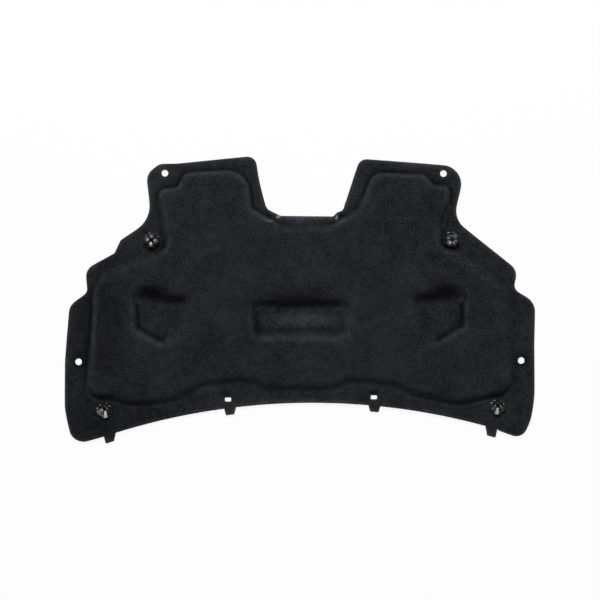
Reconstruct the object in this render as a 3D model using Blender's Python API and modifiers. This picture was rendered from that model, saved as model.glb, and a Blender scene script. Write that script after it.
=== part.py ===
"""Hood insulation pad: one moulded felt panel and the four plastic clips that fasten it to the hood.

The panel lies on its engine side. +X runs across the car, +Y to the front of the hood and +Z up to the
sheet metal, and the origin is under the middle of the panel. All lengths are in metres.

The panel is pressed from one felt blank: a thin flange all round, a thick field inside it with a soft
shoulder, three deep recesses in the field, and shallow seats round the fastener holes. Each clip is one
plastic moulding: a flat head on the engine side, a waist in the felt and a hollow crown of four barbed
prongs on the hood side.
"""

import math
from dataclasses import dataclass

import bmesh
import bpy
from mathutils import Matrix, Vector
from mathutils.geometry import delaunay_2d_cdt, intersect_point_line

# Heights of the moulded section
FLANGE_LIFT = 0.005
FLANGE_THICKNESS = 0.0035
FIELD_THICKNESS = 0.022
RECESS_FLOOR = 0.005
SEAT_DEPTH = 0.001

# Soft step in the engine side, under the field's shoulder
STEP_INSIDE = 0.006
STEP_OUTSIDE = 0.005

# Least width of flange between the foot of the field and a seat, a clip or the rear edge
FIELD_TO_SEAT = 0.0005
FIELD_TO_REAR = 0.0200
SEAT_BEND_STEP = 0.008

# Fastener holes
ROUND_HOLE_RADIUS = 0.007
SLOT_WIDTH = 0.013
SLOT_DEPTH = 0.008
SLOT_CORNER = 0.002
SIDE_SEAT_RADIUS = 0.0170
SLOT_SEAT_RADIUS = 0.0155
SEAT_WALL = 0.003

# Rear edge of the blank, a long arc with four tabs
REAR_ARC_X = 0.026
REAR_ARC_Y = -0.2195
REAR_ARC_RADIUS = 1.400
REAR_ARC_STEP = 0.045
TAB_ROOT_WIDTH = 0.0255
TAB_TIP_WIDTH = 0.018
TAB_CORNER = 0.003

# Rear fasteners, set in from the rear edge
LEFT_SLOT_INSET = 0.0186
RIGHT_SLOT_INSET = 0.0181
LEFT_CLIP_INSET = 0.0534
RIGHT_CLIP_INSET = 0.0458

# Clips, from the waist in the felt outwards
CLIP_GAP = 0.0003
WAIST_RADIUS = 0.010
WAIST_CLEARANCE = 0.0020
HEAD_OVERHANG = 0.006
HEAD_THICKNESS = 0.0018
HEAD_BEVEL = 0.0006
HEAD_DISH = 0.004
SHOULDER_LEDGE = 0.0035
BARB_REACH = 0.0035
BARB_HEIGHT = 0.005
CROWN_BAND = 0.0015
CROWN_HEIGHT = 0.024
CROWN_TAPER = 0.0104
TIP_ROUNDING = 0.0012
PRONG_WALL = 0.0027
SLIT_WIDTH = 0.0030
SLIT_FLOOR = 0.0015
PLUG_HEIGHT = 0.001

HEAD_RADIUS = WAIST_RADIUS + HEAD_OVERHANG
SHOULDER_RADIUS = WAIST_RADIUS + SHOULDER_LEDGE
CROWN_RADIUS = SHOULDER_RADIUS + BARB_REACH
TIP_RADIUS = CROWN_RADIUS - CROWN_TAPER

# The felt round a clip: flat under its head, then eased back into the flange
CLIP_FLAT = 0.0012
CLIP_BLEND = 0.016
CLIP_TO_FLOOR = 0.0006

# Facets
ARC_STEP = math.radians(18)
HOLE_SIDES = 20
WAIST_SIDES = 24
CROWN_SIDES = 8
SHOULDER_RINGS = 5
RECESS_RINGS = 6
STEP_RINGS = 3
SEAT_RINGS = 2
SHADE_ANGLE = math.radians(35)

# Of an edge, the most that one fillet may take up
FILLET_SHARE = 0.48
TOLERANCE = 1e-7


def rear_edge(x):
    """The rear arc's Y at this X."""
    across = x - REAR_ARC_X
    return REAR_ARC_Y - REAR_ARC_RADIUS + math.sqrt(REAR_ARC_RADIUS**2 - across**2)


@dataclass(frozen=True)
class Corner:
    """A corner of a plan outline, its fillet radius and the width of the slope outside it."""

    x: float
    y: float
    radius: float = 0.0
    slope: float = 0.0


@dataclass(frozen=True)
class Pocket:
    """A corner of a recess: its place at the rim, its place on the floor, and both fillet radii."""

    rim: tuple
    floor: tuple
    rim_radius: float
    floor_radius: float


@dataclass(frozen=True)
class Tab:
    """A tab on the rear edge."""

    x: float
    length: float


@dataclass(frozen=True)
class Clip:
    """A clip's place, the turn of its slits, and how far and which way its crown leans."""

    name: str
    x: float
    y: float
    turn: float
    lean: float = 0.0
    lean_towards: float = 90.0


TABS = (Tab(-0.4040, 0.0165), Tab(-0.1485, 0.0145), Tab(0.1580, 0.0130), Tab(0.4065, 0.0190))

FRONT_HOLES = ((-0.2870, 0.2686), (0.3048, 0.2678))
SIDE_HOLES = ((-0.4705, -0.1322), (0.4700, -0.1295))
SLOTS = (
    (-0.1529, rear_edge(-0.1529) + LEFT_SLOT_INSET),
    (0.1569, rear_edge(0.1569) + RIGHT_SLOT_INSET),
)

CLIPS = (
    Clip("clip_front_left", -0.3149, 0.1262, 39.0),
    Clip("clip_front_right", 0.3219, 0.1275, 5.0),
    Clip("clip_rear_left", -0.4163, rear_edge(-0.4163) + LEFT_CLIP_INSET, 56.0, 15.5, 62.0),
    Clip("clip_rear_right", 0.4193, rear_edge(0.4193) + RIGHT_CLIP_INSET, 128.0, 11.5, 95.0),
)

# The blank's edge from the rear right corner round the front to the rear left corner
EDGE = (
    Corner(0.4235, -0.2790, 0.010),
    Corner(0.4725, -0.2965, 0.026),
    Corner(0.4910, -0.2540, 0.060),
    Corner(0.4985, -0.2080, 0.150),
    Corner(0.4980, -0.0950, 0.300),
    Corner(0.4998, -0.0060, 0.036),
    Corner(0.4538, 0.0225, 0.018),
    Corner(0.4622, 0.0625, 0.028),
    Corner(0.3270, 0.1710, 0.046),
    Corner(0.3520, 0.2820, 0.041),
    Corner(0.1272, 0.2996, 0.021),
    Corner(0.0910, 0.1895, 0.010),
    Corner(0.0790, 0.1855, 0.006),
    Corner(0.0705, 0.1768, 0.006),
    Corner(-0.0410, 0.1780, 0.012),
    Corner(-0.0712, 0.1930, 0.018),
    Corner(-0.0868, 0.2530, 0.250),
    Corner(-0.0950, 0.3056, 0.020),
    Corner(-0.2620, 0.2890, 0.040),
    Corner(-0.2990, 0.2885, 0.025),
    Corner(-0.3265, 0.2660, 0.030),
    Corner(-0.3165, 0.1700, 0.060),
    Corner(-0.3812, 0.1265, 0.009),
    Corner(-0.3945, 0.0985, 0.008),
    Corner(-0.4560, 0.0645, 0.028),
    Corner(-0.4518, 0.0155, 0.016),
    Corner(-0.4900, -0.0130, 0.030),
    Corner(-0.4995, -0.1300, 0.200),
    Corner(-0.5000, -0.2320, 0.080),
    Corner(-0.4835, -0.3100, 0.045),
)

# The crest of the raised field, from the rear left corner anticlockwise
CREST = (
    Corner(-0.4500, -0.2030, 0.024, 0.010),
    Corner(-0.3960, -0.2015, 0.020, 0.010),
    Corner(-0.3740, -0.2145, 0.030, 0.010),
    Corner(-0.3180, -0.2155, 0.090, 0.010),
    Corner(-0.2430, -0.1990, 0.050, 0.010),
    Corner(-0.2110, -0.1745, 0.028, 0.010),
    Corner(-0.1280, -0.1645, 0.060, 0.010),
    Corner(-0.0960, -0.1680, 0.030, 0.010),
    Corner(-0.0720, -0.1830, 0.030, 0.010),
    Corner(0.0500, -0.1835, 0.060, 0.009),
    Corner(0.0840, -0.1770, 0.030, 0.009),
    Corner(0.1080, -0.1655, 0.030, 0.009),
    Corner(0.2000, -0.1730, 0.060, 0.009),
    Corner(0.2380, -0.1940, 0.040, 0.009),
    Corner(0.3350, -0.2170, 0.090, 0.010),
    Corner(0.4460, -0.1890, 0.020, 0.008),
    Corner(0.4370, 0.0140, 0.030, 0.016),
    Corner(0.3380, 0.0910, 0.030, 0.013),
    Corner(0.2905, 0.1040, 0.026, 0.011),
    Corner(0.2930, 0.1500, 0.060, 0.009),
    Corner(0.3130, 0.2100, 0.040, 0.006),
    Corner(0.3135, 0.2380, 0.012, 0.006),
    Corner(0.2840, 0.2390, 0.014, 0.006),
    Corner(0.2620, 0.2610, 0.014, 0.007),
    Corner(0.1580, 0.2650, 0.024, 0.007),
    Corner(0.1270, 0.1880, 0.018, 0.009),
    Corner(0.0660, 0.1500, 0.016, 0.010),
    Corner(-0.0400, 0.1505, 0.016, 0.009),
    Corner(-0.1060, 0.1900, 0.018, 0.007),
    Corner(-0.1170, 0.2720, 0.044, 0.007),
    Corner(-0.2410, 0.2653, 0.016, 0.006),
    Corner(-0.2580, 0.2350, 0.018, 0.006),
    Corner(-0.2975, 0.2305, 0.012, 0.008),
    Corner(-0.2760, 0.0990, 0.030, 0.016),
    Corner(-0.4210, 0.0473, 0.044, 0.014),
    Corner(-0.4340, -0.0100, 0.100, 0.008),
)

CENTRE_RECESS = (
    Pocket((-0.106, -0.088), (-0.089, -0.066), 0.020, 0.008),
    Pocket((0.100, -0.088), (0.090, -0.066), 0.020, 0.008),
    Pocket((0.102, 0.008), (0.088, -0.020), 0.018, 0.008),
    Pocket((-0.107, 0.008), (-0.089, -0.020), 0.018, 0.008),
)

LEFT_RECESS = (
    Pocket((-0.355, -0.068), (-0.343, -0.056), 0.014, 0.006),
    Pocket((-0.288, -0.103), (-0.297, -0.086), 0.018, 0.008),
    Pocket((-0.240, -0.060), (-0.268, -0.048), 0.020, 0.010),
    Pocket((-0.236, 0.000), (-0.264, -0.012), 0.014, 0.008),
    Pocket((-0.333, 0.034), (-0.322, -0.006), 0.014, 0.008),
    Pocket((-0.357, 0.018), (-0.346, -0.008), 0.012, 0.006),
)

RIGHT_RECESS = (
    Pocket((0.240, -0.060), (0.266, -0.048), 0.020, 0.010),
    Pocket((0.284, -0.101), (0.293, -0.084), 0.018, 0.008),
    Pocket((0.354, -0.062), (0.342, -0.052), 0.014, 0.006),
    Pocket((0.355, 0.022), (0.344, -0.004), 0.012, 0.006),
    Pocket((0.326, 0.033), (0.318, -0.002), 0.014, 0.008),
    Pocket((0.238, 0.006), (0.262, -0.006), 0.014, 0.008),
)

RECESSES = (CENTRE_RECESS, LEFT_RECESS, RIGHT_RECESS)


def arc_steps(turn):
    """Number of chords on a fillet that turns by this angle."""
    return max(1, math.ceil(abs(turn) / ARC_STEP))


def turn_at(before, here, after):
    """Signed angle by which an outline turns at a corner."""
    return (after - here).angle_signed(here - before)


def corner_of(places, index):
    """A corner of a closed outline between the corners before and after it, and how far the outline turns."""
    before = Vector(places[index - 1])
    here = Vector(places[index])
    after = Vector(places[(index + 1) % len(places)])
    return before, here, after, turn_at(before, here, after)


def fillet_steps(places):
    """Number of chords on the fillet at each corner of a closed outline."""
    return [arc_steps(corner_of(places, index)[3]) for index in range(len(places))]


def rounded(places, radii, steps=None):
    """Points of a closed outline with a fillet at each corner, and the corner that each belongs to."""
    steps = steps or fillet_steps(places)
    points, owners = [], []
    for index, (radius, chords) in enumerate(zip(radii, steps)):
        before, here, after, turn = corner_of(places, index)
        shortest = min((here - before).length, (after - here).length)
        run = min(radius * math.tan(abs(turn) / 2), FILLET_SHARE * shortest)
        if run < TOLERANCE:
            points.append(here)
            owners.append(index)
            continue
        start = here + (before - here).normalized() * run
        end = here + (after - here).normalized() * run
        inward = (start + end) / 2 - here
        centre = here + inward.normalized() * run / math.sin(abs(turn) / 2)
        first = start - centre
        for step in range(chords + 1):
            points.append(centre + Matrix.Rotation(turn * step / chords, 2) @ first)
            owners.append(index)
    return points, owners


def outward(points):
    """Unit vectors that point out of an anticlockwise outline, one at each point."""
    normals = []
    for index, here in enumerate(points):
        ahead = (points[(index + 1) % len(points)] - here).normalized()
        behind = (here - points[index - 1]).normalized()
        along = (ahead + behind).normalized()
        normals.append(Vector((along.y, -along.x)))
    return normals


def eased(share):
    """Soft S-curve from 0 to 1, level at both ends."""
    return share * share * (3 - 2 * share)


def circle(x, y, radius, sides=HOLE_SIDES):
    """Anticlockwise points of a circle."""
    steps = [2 * math.pi * side / sides for side in range(sides)]
    return [Vector((x + radius * math.cos(angle), y + radius * math.sin(angle))) for angle in steps]


def slot(x, y):
    """Anticlockwise points of a slot for the rear fasteners."""
    left, right = x - SLOT_WIDTH / 2, x + SLOT_WIDTH / 2
    rear, front = y - SLOT_DEPTH / 2, y + SLOT_DEPTH / 2
    places = [(left, rear), (right, rear), (right, front), (left, front)]
    return rounded(places, [SLOT_CORNER] * len(places))[0]


def tab_corners(tab):
    """Corners of one tab, from its left root to its right root."""
    root, tip = TAB_ROOT_WIDTH / 2, TAB_TIP_WIDTH / 2
    return [
        Corner(tab.x - root, rear_edge(tab.x - root)),
        Corner(tab.x - tip, rear_edge(tab.x - tip) - tab.length, TAB_CORNER),
        Corner(tab.x + tip, rear_edge(tab.x + tip) - tab.length, TAB_CORNER),
        Corner(tab.x + root, rear_edge(tab.x + root)),
    ]


def blank_outline():
    """The blank's edge: the rear arc with its tabs, then the right side, the front and the left side."""
    corners = []
    for tab, following in zip(TABS, TABS[1:] + (None,)):
        corners += tab_corners(tab)
        if following is None:
            break
        start, end = tab.x + TAB_ROOT_WIDTH / 2, following.x - TAB_ROOT_WIDTH / 2
        steps = math.ceil((end - start) / REAR_ARC_STEP)
        between = [start + (end - start) * step / steps for step in range(1, steps)]
        corners += [Corner(x, rear_edge(x)) for x in between]
    corners += EDGE
    return rounded([(c.x, c.y) for c in corners], [c.radius for c in corners])[0]


def crest_and_slopes():
    """The crest of the field and the slope's width at each of its points."""
    points, owners = rounded([(c.x, c.y) for c in CREST], [c.radius for c in CREST])
    widths = []
    for index, owner in enumerate(owners):
        arc = [i for i, other in enumerate(owners) if other == owner]
        share = arc.index(index) / max(1, len(arc) - 1)
        widths.append(CREST[owner - 1].slope * (1 - share) + CREST[owner].slope * share)
    return points, widths


def seats():
    """Every round flat in the flange, as its middle and its radius."""
    found = [(Vector((clip.x, clip.y)), HEAD_RADIUS + CLIP_FLAT) for clip in CLIPS]
    found += [(Vector(place), SIDE_SEAT_RADIUS) for place in SIDE_HOLES]
    found += [(Vector(place), SLOT_SEAT_RADIUS) for place in SLOTS]
    return found + [(Vector(place), ROUND_HOLE_RADIUS) for place in FRONT_HOLES]


def passes_close(start, end, width):
    """Whether a side of the field's outline runs nearer to a seat than its slope's width allows."""
    for middle, radius in seats():
        nearest, share = intersect_point_line(middle, start, end)
        if 0 < share < 1 and (nearest.to_2d() - middle).length < radius + FIELD_TO_SEAT + width:
            return True
    return False


def bent_by_seats(points, widths):
    """The outline with more points on each side that a seat reaches, so that it can bend round the seat."""
    made, wide = [], []
    for index, (start, width) in enumerate(zip(points, widths)):
        end = points[(index + 1) % len(points)]
        close = passes_close(start, end, width)
        parts = math.ceil((end - start).length / SEAT_BEND_STEP) if close else 1
        made += [start.lerp(end, step / parts) for step in range(parts)]
        wide += [width] * parts
    return made, wide


def kept_clear(points, widths):
    """The outline of the field, moved by a slope's width off the seats and the rear edge where needed."""
    moved = []
    for point, width in zip(points, widths):
        for middle, radius in seats():
            away = point - middle
            least = radius + FIELD_TO_SEAT + width
            if away.length < least:
                point = middle + away.normalized() * least
        point.y = max(point.y, rear_edge(point.x) + FIELD_TO_REAR + width)
        moved.append(point)
    return moved


def clip_raise(clip):
    """How far the felt is lifted under a leaning clip, so that its head's low side is off the floor."""
    drop = HEAD_RADIUS * math.sin(math.radians(clip.lean))
    return CLIP_TO_FLOOR + drop + HEAD_THICKNESS + CLIP_GAP - FLANGE_LIFT


def clip_warp(x, y):
    """How far the felt is lifted here by the clips that lean in it."""
    height = 0.0
    for clip in CLIPS:
        if clip.lean == 0.0:
            continue
        away = Vector((x - clip.x, y - clip.y))
        beyond = (away.length - HEAD_RADIUS - CLIP_FLAT) / CLIP_BLEND
        share = 1 - eased(min(1.0, max(0.0, beyond)))
        direction = math.radians(clip.lean_towards)
        along = away.dot(Vector((math.cos(direction), math.sin(direction))))
        height += share * (clip_raise(clip) - along * math.tan(math.radians(clip.lean)))
    return height


def inside(x, y, loop):
    """Whether a point lies in a closed loop of corners."""
    found = False
    for (x1, y1), (x2, y2) in zip(loop, loop[1:] + loop[:1]):
        if (y1 > y) != (y2 > y) and x < x1 + (y - y1) * (x2 - x1) / (y2 - y1):
            found = not found
    return found


class Skin:
    """A mesh that grows by rings: strips between matching rings, and flat fills between unlike ones."""

    def __init__(self):
        self.mesh = bmesh.new()

    def ring(self, points, height):
        """Vertices of one level ring, warped where a clip leans."""
        return [self.mesh.verts.new((p.x, p.y, height + clip_warp(p.x, p.y))) for p in points]

    def strip(self, first, second):
        """Quads between two rings with as many points."""
        count = len(first)
        for here in range(count):
            there = (here + 1) % count
            self.mesh.faces.new((first[here], first[there], second[there], second[here]))

    def loft(self, rings):
        """Strips along a series of rings."""
        for first, second in zip(rings, rings[1:]):
            self.strip(first, second)

    def fill(self, outer, holes, upward):
        """Triangles between an outer ring and the rings of its holes."""
        loops = [outer] + holes
        flat, edges, verts = [], [], []
        for loop in loops:
            start = len(flat)
            flat += [Vector((v.co.x, v.co.y)) for v in loop]
            verts += loop
            edges += [(start + i, start + (i + 1) % len(loop)) for i in range(len(loop))]
        _, _, faces, sources, _, _ = delaunay_2d_cdt(flat, edges, [], 1, TOLERANCE)
        hollow = [[(v.co.x, v.co.y) for v in hole] for hole in holes]
        for face in faces:
            corners = [verts[sources[index][0]] for index in face]
            middle = sum((v.co for v in corners), Vector()) / len(corners)
            if any(inside(middle.x, middle.y, hole) for hole in hollow):
                continue
            self.mesh.faces.new(corners if upward else reversed(corners))

    def finish(self, name):
        """The skin as a mesh datablock with its faces pointing out."""
        bmesh.ops.recalc_face_normals(self.mesh, faces=self.mesh.faces)
        data = bpy.data.meshes.new(name)
        self.mesh.to_mesh(data)
        self.mesh.free()
        return data


class Panel:
    """The moulded felt panel: its walls and slopes are lofts, and the flats between them are fills."""

    def __init__(self):
        self.skin = Skin()
        self.flange_top = FLANGE_LIFT + FLANGE_THICKNESS
        self.flange_rings = []
        self.engine_rings = []

    def slope(self, first, second, low, high, count):
        """Rings that pass from one outline to a matching one along a soft S-curve, with strips between."""
        rings = []
        for step in range(count + 1):
            share = step / count
            between = [a.lerp(b, share) for a, b in zip(first, second)]
            rings.append(self.skin.ring(between, low + (high - low) * eased(share)))
        self.skin.loft(rings)
        return rings[0], rings[-1]

    def wall(self, points, top):
        """A cut through the flange: its rings on the hood side and on the engine side."""
        upper, lower = self.skin.ring(points, top), self.skin.ring(points, FLANGE_LIFT)
        self.skin.strip(upper, lower)
        return upper, lower

    def plain_hole(self, points):
        """A hole straight through the flange."""
        upper, lower = self.wall(points, self.flange_top)
        self.flange_rings.append(upper)
        self.engine_rings.append(lower)

    def seated_hole(self, x, y, radius, points):
        """A hole in the floor of a shallow round seat."""
        floor = self.flange_top - SEAT_DEPTH
        outer, inner = circle(x, y, radius), circle(x, y, radius - SEAT_WALL)
        rim, bottom = self.slope(outer, inner, self.flange_top, floor, SEAT_RINGS)
        upper, lower = self.wall(points, floor)
        self.skin.fill(bottom, [upper], True)
        self.flange_rings.append(rim)
        self.engine_rings.append(lower)

    def clip_hole(self, clip):
        """A clip's hole, with flat felt round it on both sides."""
        upper, lower = self.wall(circle(clip.x, clip.y, WAIST_RADIUS + WAIST_CLEARANCE), self.flange_top)
        flat = circle(clip.x, clip.y, HEAD_RADIUS + CLIP_FLAT)
        over, under = self.skin.ring(flat, self.flange_top), self.skin.ring(flat, FLANGE_LIFT)
        self.skin.strip(upper, over)
        self.skin.strip(lower, under)
        self.flange_rings.append(over)
        self.engine_rings.append(under)

    def recess(self, pockets):
        """A recess pressed into the field; its rim is returned."""
        steps = fillet_steps([p.rim for p in pockets])
        rim = rounded([p.rim for p in pockets], [p.rim_radius for p in pockets], steps)[0]
        floor = rounded([p.floor for p in pockets], [p.floor_radius for p in pockets], steps)[0]
        top, bottom = self.slope(rim, floor, FIELD_THICKNESS, RECESS_FLOOR, RECESS_RINGS)
        self.skin.fill(bottom, [], True)
        return top

    def field(self):
        """The field's shoulder on the hood side, its soft step on the engine side, and both flats."""
        crest, widths = bent_by_seats(*crest_and_slopes())
        crest = kept_clear(crest, widths)
        normals = outward(crest)
        foot = kept_clear([p + n * w for p, n, w in zip(crest, normals, widths)], [0.0] * len(crest))
        inner = [p - n * STEP_INSIDE for p, n in zip(crest, normals)]
        outer = [p + n * STEP_OUTSIDE for p, n in zip(crest, normals)]
        top, bottom = self.slope(crest, foot, FIELD_THICKNESS, self.flange_top, SHOULDER_RINGS)
        self.flange_rings.append(bottom)
        self.skin.fill(top, [self.recess(pockets) for pockets in RECESSES], True)
        low, high = self.slope(inner, outer, 0.0, FLANGE_LIFT, STEP_RINGS)
        self.engine_rings.append(high)
        self.skin.fill(low, [], False)

    def build(self):
        """The whole panel as a mesh datablock."""
        for x, y in FRONT_HOLES:
            self.plain_hole(circle(x, y, ROUND_HOLE_RADIUS))
        for x, y in SIDE_HOLES:
            self.seated_hole(x, y, SIDE_SEAT_RADIUS, circle(x, y, ROUND_HOLE_RADIUS))
        for x, y in SLOTS:
            self.seated_hole(x, y, SLOT_SEAT_RADIUS, slot(x, y))
        for clip in CLIPS:
            self.clip_hole(clip)
        self.field()
        upper, lower = self.wall(blank_outline(), self.flange_top)
        self.skin.fill(upper, self.flange_rings, True)
        self.skin.fill(lower, self.engine_rings, False)
        return self.skin.finish("pad")


def head_profile():
    """Half section of a clip's head, waist and the plug above it, as (radius, height) points."""
    seat = FLANGE_THICKNESS + CLIP_GAP
    head_bottom = -CLIP_GAP - HEAD_THICKNESS
    return [
        (0.0, seat + PLUG_HEIGHT),
        (WAIST_RADIUS, seat + PLUG_HEIGHT),
        (WAIST_RADIUS, -CLIP_GAP),
        (HEAD_RADIUS, -CLIP_GAP),
        (HEAD_RADIUS, head_bottom + HEAD_BEVEL),
        (HEAD_RADIUS - HEAD_DISH, head_bottom),
        (0.0, head_bottom),
    ]


def crown_profile():
    """Half section of a clip's solid crown, measured to its corners."""
    seat = FLANGE_THICKNESS + CLIP_GAP
    tip = seat + CROWN_HEIGHT
    widest = seat + BARB_HEIGHT
    return [
        (0.0, tip),
        (TIP_RADIUS - TIP_ROUNDING, tip),
        (TIP_RADIUS, tip - TIP_ROUNDING),
        (CROWN_RADIUS, widest + CROWN_BAND),
        (CROWN_RADIUS, widest),
        (SHOULDER_RADIUS, seat),
        (0.0, seat),
    ]


def hollow_profile():
    """Half section of the hollow in a crown, which is open at the tip."""
    seat = FLANGE_THICKNESS + CLIP_GAP
    past_tip = seat + CROWN_HEIGHT + PRONG_WALL
    widest = seat + BARB_HEIGHT
    return [
        (0.0, past_tip),
        (TIP_RADIUS - PRONG_WALL, past_tip),
        (TIP_RADIUS - PRONG_WALL, seat + CROWN_HEIGHT),
        (CROWN_RADIUS - PRONG_WALL, widest),
        (WAIST_RADIUS - PRONG_WALL, seat - CLIP_GAP),
        (0.0, seat - CLIP_GAP),
    ]


def turned(name, profile, sides, collection):
    """An object that turns a half section about the upright axis."""
    data = bpy.data.meshes.new(name)
    data.from_pydata([(r, 0, z) for r, z in profile], [(i, i + 1) for i in range(len(profile) - 1)], [])
    made = bpy.data.objects.new(name, data)
    collection.objects.link(made)
    turn = made.modifiers.new("turn", "SCREW")
    turn.steps = turn.render_steps = sides
    turn.use_merge_vertices = True
    turn.merge_threshold = CLIP_GAP / 10
    turn.use_smooth_shade = False
    return made


def carve(solid, other, operation):
    """A Boolean of a solid with a guide object."""
    other.hide_render = True
    other.display_type = "WIRE"
    cut = solid.modifiers.new(other.name, "BOOLEAN")
    cut.operation = operation
    cut.object = other


def clip_solid(parts, cutters):
    """The first clip, at the origin: a turned head and waist, an eight-sided hollow crown and two slits."""
    solid = turned("clip", head_profile(), WAIST_SIDES, parts)
    half_face = math.pi / CROWN_SIDES
    for name, profile, operation in (
        ("crown", crown_profile(), "UNION"),
        ("hollow", hollow_profile(), "DIFFERENCE"),
    ):
        guide = turned(name, profile, CROWN_SIDES, cutters)
        guide.rotation_euler.z = half_face
        carve(solid, guide, operation)
    height = CROWN_HEIGHT - SLIT_FLOOR + CLIP_GAP
    for name, angle in (("slit_lengthwise", 0.0), ("slit_crosswise", math.pi / 2)):
        cutter = box(name, (2 * CROWN_RADIUS + SLIT_WIDTH, SLIT_WIDTH, height), cutters)
        cutter.location.z = FLANGE_THICKNESS + CLIP_GAP + SLIT_FLOOR + height / 2
        cutter.rotation_euler.z = angle
        carve(solid, cutter, "DIFFERENCE")
    return solid


def box(name, size, collection):
    """A plain box used as a cutter."""
    mesh = bmesh.new()
    bmesh.ops.create_cube(mesh, size=1.0, matrix=Matrix.Diagonal((*size, 1.0)))
    data = bpy.data.meshes.new(name)
    mesh.to_mesh(data)
    mesh.free()
    made = bpy.data.objects.new(name, data)
    collection.objects.link(made)
    return made


def evaluated_mesh(source, name):
    """A plain mesh of an object with its modifiers applied."""
    bpy.context.view_layer.update()
    seen = source.evaluated_get(bpy.context.evaluated_depsgraph_get())
    data = bpy.data.meshes.new_from_object(seen)
    data.name = name
    return data


def finish(name, colour, roughness):
    """A Principled material."""
    material = bpy.data.materials.new(name)
    material.use_nodes = True
    shader = material.node_tree.nodes["Principled BSDF"]
    shader.inputs["Base Color"].default_value = (*colour, 1.0)
    shader.inputs["Roughness"].default_value = roughness
    shader.inputs["Metallic"].default_value = 0.0
    return material


def place(name, data, material, collection):
    """An object for a finished mesh, shaded smooth up to the shading angle."""
    data.materials.clear()
    data.materials.append(material)
    data.shade_smooth()
    data.set_sharp_from_angle(angle=SHADE_ANGLE)
    made = bpy.data.objects.new(name, data)
    collection.objects.link(made)
    return made


def clip_pose(clip):
    """Where a clip stands: on the felt's engine side, leaning with the felt."""
    towards = math.radians(clip.lean_towards)
    axis = Vector((-math.sin(towards), math.cos(towards), 0.0))
    lean = Matrix.Rotation(math.radians(clip.lean), 4, axis)
    seat = Vector((clip.x, clip.y, FLANGE_LIFT + clip_warp(clip.x, clip.y)))
    return Matrix.Translation(seat) @ lean @ Matrix.Rotation(math.radians(clip.turn), 4, "Z")


def build():
    """The whole pad."""
    for old in list(bpy.data.objects):
        bpy.data.objects.remove(old)
    scene = bpy.context.scene
    parts = bpy.data.collections.new("hood_insulation_pad")
    cutters = bpy.data.collections.new("cutters")
    scene.collection.children.link(parts)
    scene.collection.children.link(cutters)

    felt = finish("felt", (0.012, 0.012, 0.014), 0.95)
    plastic = finish("plastic", (0.010, 0.010, 0.011), 0.28)

    place("pad", Panel().build(), felt, parts)

    pattern = clip_solid(parts, cutters)
    data = evaluated_mesh(pattern, "clip")
    bpy.data.objects.remove(pattern)
    for clip in CLIPS:
        made = place(clip.name, data.copy(), plastic, parts)
        made.matrix_world = clip_pose(clip)


build()
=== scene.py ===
"""Hood insulation pad, dressed: a soft needle-felt panel with loose fibres, and four glossy push-in clips.

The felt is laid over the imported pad. Its heights are read from both sides of the pad on a fine map of the
plan, softened as pressed felt is, and given the creases and unevenness of a handled panel. A skin of
triangles, denser on the slopes than on the flats, then follows each map, and a rolled edge joins the two
skins round every cut.
"""

import logging
import math
from dataclasses import dataclass, field
from enum import Enum
from functools import partial, reduce

import bmesh
import bpy
import numpy as np
from bmesh.types import BMEdge, BMesh
from bpy.types import Material, Node, NodeSocket, Object
from mathutils import Matrix, Vector
from mathutils.bvhtree import BVHTree
from mathutils.geometry import delaunay_2d_cdt
from mathutils.kdtree import KDTree


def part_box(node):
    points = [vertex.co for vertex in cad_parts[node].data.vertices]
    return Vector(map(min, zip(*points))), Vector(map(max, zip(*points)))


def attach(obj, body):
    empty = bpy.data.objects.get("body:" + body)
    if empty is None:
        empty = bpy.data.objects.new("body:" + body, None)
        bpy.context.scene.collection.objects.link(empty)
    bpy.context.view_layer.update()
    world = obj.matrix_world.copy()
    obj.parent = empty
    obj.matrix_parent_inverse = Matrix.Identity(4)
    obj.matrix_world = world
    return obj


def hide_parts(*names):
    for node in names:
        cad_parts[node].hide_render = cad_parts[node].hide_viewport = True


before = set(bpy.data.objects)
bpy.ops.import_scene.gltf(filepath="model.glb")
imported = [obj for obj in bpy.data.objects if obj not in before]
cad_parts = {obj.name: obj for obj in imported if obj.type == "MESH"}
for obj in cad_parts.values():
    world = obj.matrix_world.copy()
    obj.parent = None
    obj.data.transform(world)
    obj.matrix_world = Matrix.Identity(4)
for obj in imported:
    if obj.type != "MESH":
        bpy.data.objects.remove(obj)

LOG = logging.getLogger("hood_insulation_pad")
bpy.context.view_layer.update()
ROOT = "root"
Array = np.ndarray
Cells = tuple[np.ndarray, np.ndarray]
Pair = tuple[float, float]
Triple = tuple[float, float, float]
BLEND_SHARE, BLEND_FIRST, BLEND_SECOND, BLEND_RESULT = 0, 6, 7, 2
LATTICE_RISE = math.sqrt(0.75)
MERGE_DISTANCE = 1e-5
CUT_TOLERANCE = 1e-7
BLUR_SPAN = 3


class Side(Enum):
    """The two faces of the panel."""

    HOOD = 1
    ENGINE = -1


class Slot(Enum):
    """The record's material slots."""

    FELT = "felt"
    PLASTIC = "clip_plastic"


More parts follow.
